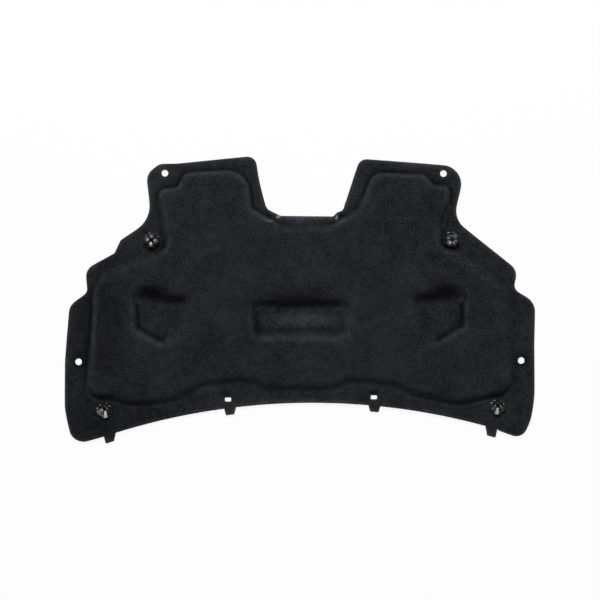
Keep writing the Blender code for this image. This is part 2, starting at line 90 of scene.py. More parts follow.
class NodeTree:
    """A node tree that is written as a list of nodes with their inputs."""

    def __init__(self, tree: bpy.types.NodeTree) -> None:
        """Start on an emptied tree."""
        self.tree = tree
        tree.nodes.clear()

    def add(self, kind: str, inputs: dict | None = None, **settings: object) -> Node:
        """Add a node.

        Args:
            kind: Blender's type name of the node.
            inputs: values or output sockets for its inputs, by name or number.
            settings: the node's own properties.

        Returns:
            The new node.
        """
        node = self.tree.nodes.new(kind)
        for name, value in settings.items():
            setattr(node, name, value)
        for name, value in (inputs or {}).items():
            self.feed(node, name, value)
        return node

    def feed(self, node: Node, name: str | int, value: object) -> None:
        """Set an input of a node, or link it to an output socket.

        Args:
            node: the node.
            name: the input's name or number.
            value: a value or an output socket.
        """
        if isinstance(value, NodeSocket):
            self.tree.links.new(value, node.inputs[name])
        else:
            node.inputs[name].default_value = value

    def maths(self, operation: str, first: object, second: object) -> NodeSocket:
        """Combine two numbers or sockets by Blender's name of the sum."""
        return self.add("ShaderNodeMath", {0: first, 1: second}, operation=operation).outputs[0]

    def fold(self, operation: str, values: list) -> NodeSocket:
        """Combine several numbers or sockets in turn."""
        return reduce(partial(self.maths, operation), values)

    def between(self, value: object, span: Pair, to: Pair = (0.0, 1.0)) -> NodeSocket:
        """Map a number from one range to another, held at its ends."""
        inputs = {0: value, 1: span[0], 2: span[1], 3: to[0], 4: to[1]}
        return self.add("ShaderNodeMapRange", inputs, clamp=True).outputs[0]

    def blend(self, share: object, first: object, second: object) -> NodeSocket:
        """Mix two colours, which may be sockets, by the share of the second."""
        inputs = {BLEND_SHARE: share, BLEND_FIRST: first, BLEND_SECOND: second}
        return self.add("ShaderNodeMix", inputs, data_type="RGBA").outputs[BLEND_RESULT]

    def attribute(self, name: str) -> NodeSocket:
        """A number that the mesh holds for each point."""
        return self.add("ShaderNodeAttribute", attribute_name=name).outputs["Fac"]


@dataclass(frozen=True)
class NoiseLayer:
    """A layer of noise in a finish: plain, or the strongest of streaks that lie several ways, in degrees."""

    scale: float
    detail: float = 2.0
    roughness: float = 0.5
    weight: float = 1.0
    turns: tuple[float, ...] = ()
    stretch: float = 1.0

    def turned(self, nodes: NodeTree, place: NodeSocket, turn: float) -> NodeSocket:
        """Turn and squeeze the coordinates, so that noise becomes streaks."""
        inputs = {0: place, "Rotation": (0.0, 0.0, math.radians(turn)), "Scale": (1.0, self.stretch, 1.0)}
        return nodes.add("ShaderNodeMapping", inputs, vector_type="POINT").outputs[0]

    def noise(self, nodes: NodeTree, place: NodeSocket) -> NodeSocket:
        """Noise from 0 to 1 over coordinates in metres."""
        inputs = {"Vector": place, "Scale": self.scale, "Detail": self.detail, "Roughness": self.roughness}
        return nodes.add("ShaderNodeTexNoise", inputs).outputs[0]

    def make(self, nodes: NodeTree, place: NodeSocket) -> NodeSocket:
        """Write the layer's nodes.

        Args:
            nodes: the tree to write in.
            place: coordinates in metres.

        Returns:
            The layer times its weight.
        """
        ways = [self.turned(nodes, place, turn) for turn in self.turns] or [place]
        strongest = nodes.fold("MAXIMUM", [self.noise(nodes, way) for way in ways])
        return nodes.maths("MULTIPLY", strongest, self.weight)


def new_material(name: str) -> tuple[Material, NodeTree]:
    """Start a material.

    Args:
        name: the material's name.

    Returns:
        The material and its emptied tree.
    """
    material = bpy.data.materials.new(name)
    material.use_nodes = True
    return material, NodeTree(material.node_tree)


def in_scene(name: str, data: bpy.types.ID) -> Object:
    """Put a new object in the scene.

    Args:
        name: the object's name.
        data: its mesh, lamp or camera.

    Returns:
        The object.
    """
    made = bpy.data.objects.new(name, data)
    bpy.context.scene.collection.objects.link(made)
    return made


def plain_mesh(made: Object) -> bpy.types.Mesh:
    """Turn an object with modifiers into a plain mesh.

    Args:
        made: the object, whose modifiers are removed.

    Returns:
        The object's new mesh.
    """
    bpy.context.view_layer.update()
    data = bpy.data.meshes.new_from_object(made.evaluated_get(bpy.context.evaluated_depsgraph_get()))
    made.modifiers.clear()
    made.data = data
    data.name = made.name
    return data


def blurred(values: Array, reach: float) -> Array:
    """Soften a map with a bell-shaped window.

    Args:
        values: numbers by row and column.
        reach: standard deviation of the window, in cells.

    Returns:
        The softened map.
    """
    span = max(1, math.ceil(BLUR_SPAN * reach))
    offsets = np.arange(-span, span + 1)
    weights = np.exp(-0.5 * (offsets / reach) ** 2)
    weights /= weights.sum()
    for axis in (0, 1):
        values = sum(w * np.roll(values, int(k), axis) for k, w in zip(offsets, weights))
    return values


def smoothstep(values: Array, low: float, high: float) -> Array:
    """Soft steps from 0 at low to 1 at high."""
    share = np.clip((values - low) / (high - low), 0, 1)
    return share * share * (3 - 2 * share)


@dataclass
class PlanMap:
    """A map of numbers over the plan, on a square grid."""

    corner: Array
    step: float
    values: Array

    def places(self) -> Cells:
        """X and Y of every cell."""
        x, y = (self.corner[k] + self.step * np.arange(self.values.shape[1 - k]) for k in (0, 1))
        return np.meshgrid(x, y)

    def at(self, points: Array) -> Array:
        """Read the map between its cells.

        Args:
            points: rows of X and Y.

        Returns:
            One number for each point.
        """
        across = (points[:, 0] - self.corner[0]) / self.step
        along = (points[:, 1] - self.corner[1]) / self.step
        rows, columns = self.values.shape
        i = np.clip(across.astype(int), 0, columns - 2)
        j = np.clip(along.astype(int), 0, rows - 2)
        u, v = np.clip(across - i, 0, 1), np.clip(along - j, 0, 1)
        low = self.values[j, i] * (1 - u) + self.values[j, i + 1] * u
        high = self.values[j + 1, i] * (1 - u) + self.values[j + 1, i + 1] * u
        return low * (1 - v) + high * v

    def like(self, values: Array) -> "PlanMap":
        """A map of other numbers on the same grid."""
        return PlanMap(self.corner, self.step, values)

    def softened(self, reach: float) -> "PlanMap":
        """The map softened over a reach in metres."""
        return self.like(blurred(self.values, reach / self.step))


@dataclass
class CadShape:
    """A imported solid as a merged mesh."""

    node: str
    border_share: float = 3.0
    near_least: float = 1e-4

    def merged(self) -> BMesh:
        """Join the solid's loose triangles.

        Returns:
            The mesh.
        """
        mesh = bmesh.new()
        mesh.from_mesh(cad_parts[self.node].data)
        bmesh.ops.remove_doubles(mesh, verts=mesh.verts, dist=MERGE_DISTANCE)
        return mesh

    def heights(self, side: Side, step: float, margin: float) -> tuple[PlanMap, PlanMap]:
        """Read the solid's height from above or below.

        Args:
            side: the face to read.
            step: the map's cell, in metres.
            margin: border round the solid's box, in metres.

        Returns:
            The heights, with empty cells filled from their neighbours, and a map that is 1 on the solid.
        """
        mesh = self.merged()
        tree = BVHTree.FromBMesh(mesh)
        mesh.free()
        low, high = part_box(self.node)
        corner = np.array([low.x - margin, low.y - margin])
        columns = int((high.x - low.x + 2 * margin) / step) + 1
        rows = int((high.y - low.y + 2 * margin) / step) + 1
        start = high.z + margin if side is Side.HOOD else low.z - margin
        towards = Vector((0.0, 0.0, -float(side.value)))
        found = np.zeros((rows, columns))
        solid = np.zeros((rows, columns))
        for row in range(rows):
            y = corner[1] + step * row
            for column in range(columns):
                hit = tree.ray_cast(Vector((corner[0] + step * column, y, start)), towards)[0]
                if hit is not None:
                    found[row, column] = hit.z
                    solid[row, column] = 1.0
        reach = margin / step / self.border_share
        near = blurred(solid, reach)
        spread = blurred(found, reach) / np.maximum(near, self.near_least)
        level = float(np.median(found[solid > 0]))
        outside = np.where(near > self.near_least, spread, level)
        return PlanMap(corner, step, np.where(solid > 0, found, outside)), PlanMap(corner, step, solid)


def ring_area(ring: Array) -> float:
    """Signed area of a closed outline, positive when it runs anticlockwise."""
    ahead = np.roll(ring, -1, 0)
    return 0.5 * float(np.sum(ring[:, 0] * ahead[:, 1] - ahead[:, 0] * ring[:, 1]))


def outward(ring: Array) -> Array:
    """Unit vectors out of the felt along a cut edge, with the felt on the left of its run."""
    along = np.roll(ring, -1, 0) - np.roll(ring, 1, 0)
    return np.column_stack([along[:, 1], -along[:, 0]]) / np.linalg.norm(along, axis=1)[:, None]


def flowing(ring: Array, spacing: float, corner: float) -> Array:
    """Draw a smooth closed line through the corners of a faceted one.

    Args:
        ring: the facets' corners.
        spacing: distance between the new points, in metres.
        corner: turn in radians above which a corner stays sharp.

    Returns:
        The new points.
    """
    ahead = np.roll(ring, -1, 0) - ring
    length = np.linalg.norm(ahead, axis=1)
    ahead = ahead / length[:, None]
    behind = np.roll(ahead, 1, 0)
    through = np.roll(ring, -1, 0) - np.roll(ring, 1, 0)
    through /= np.linalg.norm(through, axis=1)[:, None]
    sharp = np.arccos(np.clip(np.sum(ahead * behind, axis=1), -1, 1)) > corner
    leaving = np.where(sharp[:, None], ahead, through)
    arriving = np.where(sharp[:, None], behind, through)
    made = []
    for index, start in enumerate(ring):
        after = (index + 1) % len(ring)
        count = max(1, round(length[index] / spacing))
        t = (np.arange(count) / count)[:, None]
        pull = length[index]
        made.append(
            (2 * t**3 - 3 * t**2 + 1) * start
            + (t**3 - 2 * t**2 + t) * pull * leaving[index]
            + (3 * t**2 - 2 * t**3) * ring[after]
            + (t**3 - t**2) * pull * arriving[after]
        )
    return np.vstack(made)


@dataclass(frozen=True)
class Groove:
    """A shallow pressed line in the felt, through places in the plan."""

    places: tuple[Pair, ...]
    depth: float
    reach: float

    def share(self, cells: Cells) -> Array:
        """How much of the groove's depth each cell has.

        Args:
            cells: X and Y of every cell.

        Returns:
            Shares from 0 to 1.
        """
        x, y = cells
        nearest = np.full_like(x, np.inf)
        for (x1, y1), (x2, y2) in zip(self.places, self.places[1:]):
            run = np.array([x2 - x1, y2 - y1])
            share = np.clip(((x - x1) * run[0] + (y - y1) * run[1]) / (run @ run), 0, 1)
            nearest = np.minimum(nearest, np.hypot(x - x1 - share * run[0], y - y1 - share * run[1]))
        return np.exp(-((nearest / self.reach) ** 2))


@dataclass(frozen=True)
class Pinch:
    """A fold or a dent where the felt was nipped in the mould, and how strongly its pressed spot gets polish
    and a painted glint.
    """

    place: Pair
    towards: float
    length: float
    width: float
    height: float
    painted_glint_and_polish: float = 0.0

    def share(self, cells: Cells) -> Array:
        """How much of the pinch's height each cell has.

        Args:
            cells: X and Y of every cell.

        Returns:
            Shares from 0 to 1.
        """
        dx, dy = cells[0] - self.place[0], cells[1] - self.place[1]
        cos, sin = math.cos(self.towards), math.sin(self.towards)
        along, across = dx * cos + dy * sin, dy * cos - dx * sin
        return np.exp(-((2 * along / self.length) ** 2) - (across / self.width) ** 2)


@dataclass(frozen=True)
class Ellipse:
    """A part of the panel, as an ellipse in the plan."""

    middle: Pair
    half: Pair

    def share(self, cells: Cells, full: float, end: float) -> Array:
        """How far each cell lies inside, from 0 past the end to 1 up to where it counts in full."""
        (x, y), middle, half = cells, self.middle, self.half
        return 1 - smoothstep(np.hypot((x - middle[0]) / half[0], (y - middle[1]) / half[1]), full, end)


@dataclass(frozen=True)
class SoftZone(Ellipse):
    """A part where the pressed shapes are gentler, and may be moved forward or back."""

    reach: float
    forward: float = 0.0


@dataclass(frozen=True)
class PaintedLightPatch(Ellipse):
    """A part of the felt with painted shade, where its gain is below 1, and a painted highlight, where it is
    above 1.
    """

    gain: float


@dataclass
class FeltPanel:
    """The moulded felt panel."""

    node: str = "pad"
    name: str = "felt_panel"
    fill: float = 0.9
    map_step: float = 0.00125
    map_margin: float = 0.012
    hood_soften: float = 0.0027
    engine_soften: float = 0.0026
    slope_spacing: float = 0.0019
    flat_share: int = 4
    engine_spacing: float = 0.01
    cut_spacing: float = 0.0017
    edge_clearance: float = 0.6
    corner_turn: float = math.radians(32)
    roll: float = 0.0014
    roll_rows: int = 6
    edge_drop: float = 0.0007
    edge_reach: float = 0.003
    edge_shares: Pair = (0.5, 0.98)
    bulge_power: float = 0.7
    rise_power: float = 0.8
    steep: float = 0.1
    middling_steep: float = 0.25
    middling_edge: float = 0.02
    upright: float = 0.02
    facing_up: float = 0.5
    on_felt: float = 0.5
    waves: tuple[Pair, ...] = ((0.03, 0.0003), (0.008, 0.00012), (0.003, 0.00006))
    seed: int = 7
    clip_reach: float = 0.024
    clip_flat_share: float = 0.7
    clip_dent: float = 0.00015
    floor_gap: float = 0.0001
    grooves: tuple[Groove, ...] = (
        Groove(
            ((-0.4399, 0.048), (-0.4356, 0.0586), (-0.4293, 0.064), (-0.4208, 0.0672))
            + ((-0.4101, 0.0725), (-0.3995, 0.0788), (-0.3889, 0.0884), (-0.3804, 0.1012)),
            0.0011,
            0.0024,
        ),
        Groove(((-0.06, -0.0625), (0.064, -0.0625)), 0.0006, 0.0016),
        Groove(((-0.3442, -0.0582), (-0.3187, -0.071), (-0.2932, -0.0858)), 0.001, 0.0024),
    )
    pinches: tuple[Pinch, ...] = (
        Pinch((-0.0455, 0.1762), math.radians(20), 0.013, 0.004, 0.0012, 1.0),
        Pinch((-0.062, 0.1668), math.radians(10), 0.022, 0.0024, 0.001, 0.45),
        Pinch((-0.063, 0.1752), math.radians(-15), 0.018, 0.005, -0.0016),
        Pinch((0.078, 0.1742), math.radians(80), 0.012, 0.0034, 0.0012, 0.9),
        Pinch((0.0645, 0.1735), math.radians(-20), 0.014, 0.0028, 0.001, 0.45),
        Pinch((0.089, 0.1768), math.radians(30), 0.016, 0.005, -0.0016),
        Pinch((0.056, 0.1775), 0.0, 0.01, 0.003, 0.0008),
        Pinch((0.016, 0.1745), 0.0, 0.15, 0.004, 0.0004, 0.34),
    )
    zones: tuple[SoftZone, ...] = (
        SoftZone((0.448, -0.06), (0.045, 0.13), 0.009),
        SoftZone((-0.252, -0.05), (0.036, 0.06), 0.009),
        SoftZone((0.258, -0.055), (0.038, 0.06), 0.009),
        SoftZone((0.098, -0.045), (0.024, 0.05), 0.0075),
        SoftZone((0.0, 0.013), (0.12, 0.018), 0.008),
        SoftZone((-0.29, 0.03), (0.07, 0.02), 0.008),
        SoftZone((0.29, 0.03), (0.07, 0.02), 0.008),
        SoftZone((0.37, 0.065), (0.09, 0.05), 0.008),
        SoftZone((-0.36, 0.075), (0.08, 0.045), 0.007),
        SoftZone((0.11, 0.2), (0.03, 0.05), 0.005),
        SoftZone((0.0, 0.15), (0.1, 0.016), 0.006),
        SoftZone((0.0, -0.195), (0.42, 0.04), 0.0052, -0.0005),
    )
    # Patches of painted shade, with gains below 1, and painted highlights, with gains above 1.
    painted_light_patches: tuple[PaintedLightPatch, ...] = (
        PaintedLightPatch((0.0085, 0.1691), (0.098, 0.01), 2.1),
        PaintedLightPatch((0.0, -0.043), (0.11, 0.019), 1.7),
        PaintedLightPatch((0.0, -0.008), (0.13, 0.015), 0.3),
        PaintedLightPatch((0.0, 0.012), (0.09, 0.018), 0.8),
        PaintedLightPatch((-0.3144, 0.0161), (0.042, 0.025), 0.2),
        PaintedLightPatch((-0.2634, 0.0013), (0.038, 0.017), 0.3),
        PaintedLightPatch((0.309, 0.0161), (0.042, 0.025), 0.25),
        PaintedLightPatch((0.265, 0.005), (0.038, 0.017), 0.4),
        PaintedLightPatch((-0.43, -0.05), (0.08, 0.17), 0.62),
        PaintedLightPatch((-0.4365, -0.05), (0.0075, 0.17), 1.6),
        PaintedLightPatch((-0.4, -0.245), (0.13, 0.065), 0.66),
        PaintedLightPatch((0.0, -0.076), (0.13, 0.013), 1.28),
        PaintedLightPatch((0.0, -0.218), (0.17, 0.011), 1.5),
        PaintedLightPatch((0.23, 0.285), (0.09, 0.012), 1.12),
        PaintedLightPatch((0.0, -0.135), (0.26, 0.03), 1.07),
        PaintedLightPatch((-0.47, -0.1322), (0.021, 0.021), 0.45),
        PaintedLightPatch((0.47, -0.1295), (0.021, 0.021), 0.45),
        PaintedLightPatch((-0.158, -0.201), (0.016, 0.008), 0.4),
        PaintedLightPatch((0.156, -0.196), (0.016, 0.008), 0.4),
    )
    zone_full: float = 0.6
    patch_full: float = 0.2
    ellipse_end: float = 1.15
    # Painted light from the relief: shade in hollows, highlights on crests, and on rearward slopes a
    # highlight at the foot and shade at the brow.
    hollow_painted_shade: float = 0.36
    crest_painted_highlight: float = 1.6
    foot_painted_highlight: float = 1.6
    brow_painted_shade: float = 0.75
    rearward_slopes: Pair = (0.04, 0.2)
    # Reach and shares of the mask for the painted highlight along the cut edge.
    rim_reach: float = 0.005
    rim_shares: Pair = (0.5, 0.96)
    relief_reach: float = 0.0052
    relief_height: float = 0.002
    maps: dict[str, PlanMap] = field(default_factory=dict)

    def clip_middles(self) -> list[Vector]:
        """Where the clips stand."""
        nodes = [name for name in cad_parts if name.startswith("clip")]
        return [(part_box(name)[0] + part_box(name)[1]) / 2 for name in nodes]

    def unevenness(self, cells: Cells) -> Array:
        """Waviness of a handled panel, which dies out round the clips.

        Args:
            cells: X and Y of every cell.

        Returns:
            Heights to add, in metres.
        """
        x, y = cells
        draw = np.random.default_rng(self.seed)
        total = np.zeros_like(x)
        for reach, height in self.waves:
            layer = blurred(draw.standard_normal(x.shape), reach / self.map_step)
            total += height * layer / layer.std()
        for middle in self.clip_middles():
            away = np.hypot(x - middle.x, y - middle.y)
            free = smoothstep(away, self.clip_flat_share * self.clip_reach, self.clip_reach)
            total = total * free - self.clip_dent * (1 - free)
        return total

    def moulded(self, hood: PlanMap) -> Array:
        """The pressed shapes of the hood side, gentler in the soft zones.

        Args:
            hood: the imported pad's heights.

        Returns:
            The heights.
        """
        cells = x, y = hood.places()
        shape = hood.softened(self.hood_soften).values
        for zone in self.zones:
            share = zone.share(cells, self.zone_full, self.ellipse_end)
            places = np.column_stack([x.ravel(), y.ravel() - zone.forward])
            gentle = hood.softened(zone.reach).at(places).reshape(x.shape)
            shape = shape * (1 - share) + gentle * share
        return shape

    def tone(self, cells: Cells, relief: Array, fall: Array) -> Array:
        """Paint shade and highlights into the felt's colour, as a gain for each cell.

        Args:
            cells: X and Y of every cell.
            relief: from -1 on crests to 1 in hollows.
            fall: how steeply the felt falls towards the rear.

        Returns:
            Gains of the felt's colour, below 1 for painted shade and above 1 for painted highlights.
        """
        # Painted light: hollows get painted shade and crests a painted highlight; on slopes that fall to the
        # rear, the foot gets a painted highlight and the brow painted shade.
        rearward = smoothstep(fall, *self.rearward_slopes)
        hollow = self.hollow_painted_shade + (self.foot_painted_highlight - self.hollow_painted_shade) * rearward
        crest = self.crest_painted_highlight + (self.brow_painted_shade - self.crest_painted_highlight) * rearward
        gain = 1 + (hollow - 1) * np.clip(relief, 0, 1) + (crest - 1) * np.clip(-relief, 0, 1)
        # Each patch paints shade or a highlight over its part of the panel.
        for patch in self.painted_light_patches:
            gain *= 1 + (patch.gain - 1) * patch.share(cells, self.patch_full, self.ellipse_end)
        return gain

    def read(self) -> None:
        """Make the maps of both faces and of the finish, among them the painted shade, highlights and glints.
        """
        cad = CadShape(self.node)
        hood, solid = cad.heights(Side.HOOD, self.map_step, self.map_margin)
        engine, _ = cad.heights(Side.ENGINE, self.map_step, self.map_margin)
        drop = 1 - smoothstep(solid.softened(self.edge_reach).values, *self.edge_shares)
        # Mask for the painted highlight along the cut edge.
        rim = 1 - smoothstep(solid.softened(self.rim_reach).values, *self.rim_shares)
        cells = hood.places()
        top = self.moulded(hood)
        # Pressed spots: how much painted glint and polish each cell gets.
        polish_and_painted_glint = np.zeros_like(top)
        for groove in self.grooves:
            top -= groove.depth * groove.share(cells)
        for pinch in self.pinches:
            share = pinch.share(cells)
            top += pinch.height * share
            polish_and_painted_glint = np.maximum(polish_and_painted_glint, pinch.painted_glint_and_polish * share)
        steep = self.steepness(hood.like(top))
        fall = hood.like(np.gradient(top, self.map_step)[0]).softened(self.relief_reach).values
        relief = hood.like(top).softened(self.relief_reach).values - top
        top += self.unevenness(cells) - self.edge_drop * drop
        bottom = np.maximum(engine.softened(self.engine_soften).values, self.floor_gap)
        self.maps = {
            "hood": hood.like(top),
            "engine": engine.like(bottom),
            "solid": solid,
            "cut": solid.like(drop),
            "polish_and_painted_glint": solid.like(polish_and_painted_glint),
            # Painted shade and highlights, as gains of the felt's colour.
            "tone": solid.like(self.tone(cells, relief / self.relief_height, fall)),
            "rim": solid.like(rim),
            "steep": steep,
        }

    def steepness(self, heights: PlanMap) -> PlanMap:
        """A map of the slope as a share of the least that counts, spread over a few millimetres."""
        rise, run = np.gradient(heights.values, self.map_step)
        return heights.like(np.hypot(rise, run) / self.steep).softened(2 * self.slope_spacing)

    def cuts(self) -> list[Array]:
        """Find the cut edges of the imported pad.

        Returns:
            The outline first, anticlockwise, and then each hole, clockwise, all smooth and finely spaced.
        """
        mesh = CadShape(self.node).merged()
        mesh.normal_update()
        ahead: dict[int, int] = {}
        places = {v.index: (v.co.x, v.co.y) for v in mesh.verts}
        for face in mesh.faces:
            if abs(face.normal.z) > self.upright:
                continue
            for loop in face.loops:
                other = loop.link_loop_radial_next.face
                if other.normal.z > self.facing_up:
                    ahead[loop.link_loop_next.vert.index] = loop.vert.index
        mesh.free()
        rings = []
        while ahead:
            start, here = ahead.popitem()
            ring = [start]
            while here != start:
                ring.append(here)
                here = ahead.pop(here)
            rings.append(np.array([places[i] for i in ring]))
        rings.sort(key=lambda ring: -abs(ring_area(ring)))
        turned = [ring if (ring_area(ring) > 0) == (k == 0) else ring[::-1] for k, ring in enumerate(rings)]
        return [flowing(ring, self.cut_spacing, self.corner_turn) for ring in turned]

    def filling(self, cuts: list[Array], spacing: float, detailed: bool) -> Array:
        """Points for the inside of a skin, on a triangular lattice that is denser on the slopes.

        Args:
            cuts: the skin's edges.
            spacing: distance between the closest points.
            detailed: whether the lattice thins out on the flats.

        Returns:
            Rows of X and Y.
        """
        low, high = cuts[0].min(0), cuts[0].max(0)
        rows = int((high[1] - low[1]) / (spacing * LATTICE_RISE)) + 1
        columns = int((high[0] - low[0]) / spacing) + rows // 2 + 1
        j, i = np.meshgrid(np.arange(rows), np.arange(-rows // 2, columns), indexing="ij")
        across, along = low[0] + spacing * (i + j / 2), low[1] + spacing * LATTICE_RISE * j
        points = np.column_stack([across.ravel(), along.ravel()])
        keep = self.maps["solid"].at(points) > self.on_felt
        if detailed:
            steep = self.maps["steep"].at(points)
            near = (steep > self.middling_steep) | (self.maps["cut"].at(points) > self.middling_edge)
            coarse = ((i % self.flat_share == 0) & (j % self.flat_share == 0)).ravel()
            middling = ((i % 2 == 0) & (j % 2 == 0)).ravel()
            keep &= coarse | (middling & near) | (steep > 1)
        points = points[keep]
        edge, out = np.vstack(cuts), np.vstack([outward(cut) for cut in cuts])
        tree = KDTree(len(edge))
        for index, place in enumerate(edge):
            tree.insert((*place, 0.0), index)
        tree.balance()
        nearest = np.array([tree.find((*place, 0.0))[1] for place in points])
        depth = -np.sum((points - edge[nearest]) * out[nearest], axis=1)
        return points[depth > self.edge_clearance * self.cut_spacing]

    def skin(self, cuts: list[Array], filling: Array) -> tuple[Array, Array]:
        """Join cut edges and the points between them with triangles.

        Args:
            cuts: the skin's edges, the outline first.
            filling: the points inside.

        Returns:
            The points, with the edges first, and the triangles' corners, anticlockwise from above.
        """
        points = np.vstack([*cuts, filling])
        owner = np.full(len(points), -1)
        edges, start = [], 0
        for number, cut in enumerate(cuts):
            count = len(cut)
            owner[start : start + count] = number
            edges += [(start + k, start + (k + 1) % count) for k in range(count)]
            start += count
        _, _, faces, sources, _, _ = delaunay_2d_cdt([Vector(p) for p in points], edges, [], 1, CUT_TOLERANCE)
        source = np.array([ids[0] for ids in sources])
        corners = source[np.array([face for face in faces if len(face) == 3])]
        of = owner[corners]
        in_hole = (of[:, 0] > 0) & (of[:, 0] == of[:, 1]) & (of[:, 1] == of[:, 2])
        return points, corners[~in_hole]

    def build(self) -> Object:
        """Make the panel's mesh.

        Returns:
            The panel.
        """
        self.read()
        cuts = self.cuts()
        inset = [cut - self.roll * outward(cut) for cut in cuts]
        edge_count = sum(len(cut) for cut in cuts)
        top, top_faces = self.skin(inset, self.filling(inset, self.slope_spacing, True))
        base, base_faces = self.skin(inset, self.filling(inset, self.engine_spacing, False))
        high, low = self.maps["hood"].at(top), self.maps["engine"].at(base)
        layers = [np.column_stack([top, high])]
        faces = [top_faces]
        rows = [np.arange(edge_count)]
        total = len(top)
        edge, out = np.vstack(cuts), np.vstack([outward(cut) for cut in cuts])
        middle = (high[:edge_count] + low[:edge_count]) / 2
        half = (high[:edge_count] - low[:edge_count]) / 2
        for row in range(1, self.roll_rows):
            angle = math.pi * row / self.roll_rows
            bulge = self.roll * (math.sin(angle) ** self.bulge_power - 1)
            rise = math.copysign(abs(math.cos(angle)) ** self.rise_power, math.cos(angle))
            layers.append(np.column_stack([edge + bulge * out, middle + half * rise]))
            rows.append(total + np.arange(edge_count))
            total += edge_count
        layers.append(np.column_stack([base, low]))
        rows.append(total + np.arange(edge_count))
        faces.append(total + base_faces[:, ::-1])
        ahead, start = np.arange(edge_count) + 1, 0
        for cut in cuts:
            ahead[start + len(cut) - 1] = start
            start += len(cut)
        for upper, lower in zip(rows, rows[1:]):
            faces.append(np.column_stack([upper, lower, lower[ahead]]))
            faces.append(np.column_stack([upper, lower[ahead], upper[ahead]]))
        return self.assemble(np.vstack(layers), np.vstack(faces))

    def assemble(self, points: Array, faces: Array) -> Object:
        """Turn points and triangles into an object with its finish attributes, which carry painted shade,
        highlights and glints.

        Args:
            points: rows of X, Y and Z.
            faces: the triangles' corners.

        Returns:
            The object.
        """
        data = bpy.data.meshes.new(self.name)
        data.from_pydata(points.tolist(), [], faces.tolist())
        for attribute in ("cut", "polish_and_painted_glint", "tone", "rim"):
            layer = data.attributes.new(attribute, "FLOAT", "POINT")
            layer.data.foreach_set("value", self.maps[attribute].at(points[:, :2]).astype(np.float32))
        data.shade_smooth()
        data.update()
        return in_scene(self.name, data)

    def dress(self, panel: Object, finish: Material) -> None:
        """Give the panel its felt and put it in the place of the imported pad.

        Args:
            panel: the panel's object.
            finish: the felt.
        """
        panel.data.materials.append(finish)
        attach(panel, ROOT)
        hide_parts(self.node)


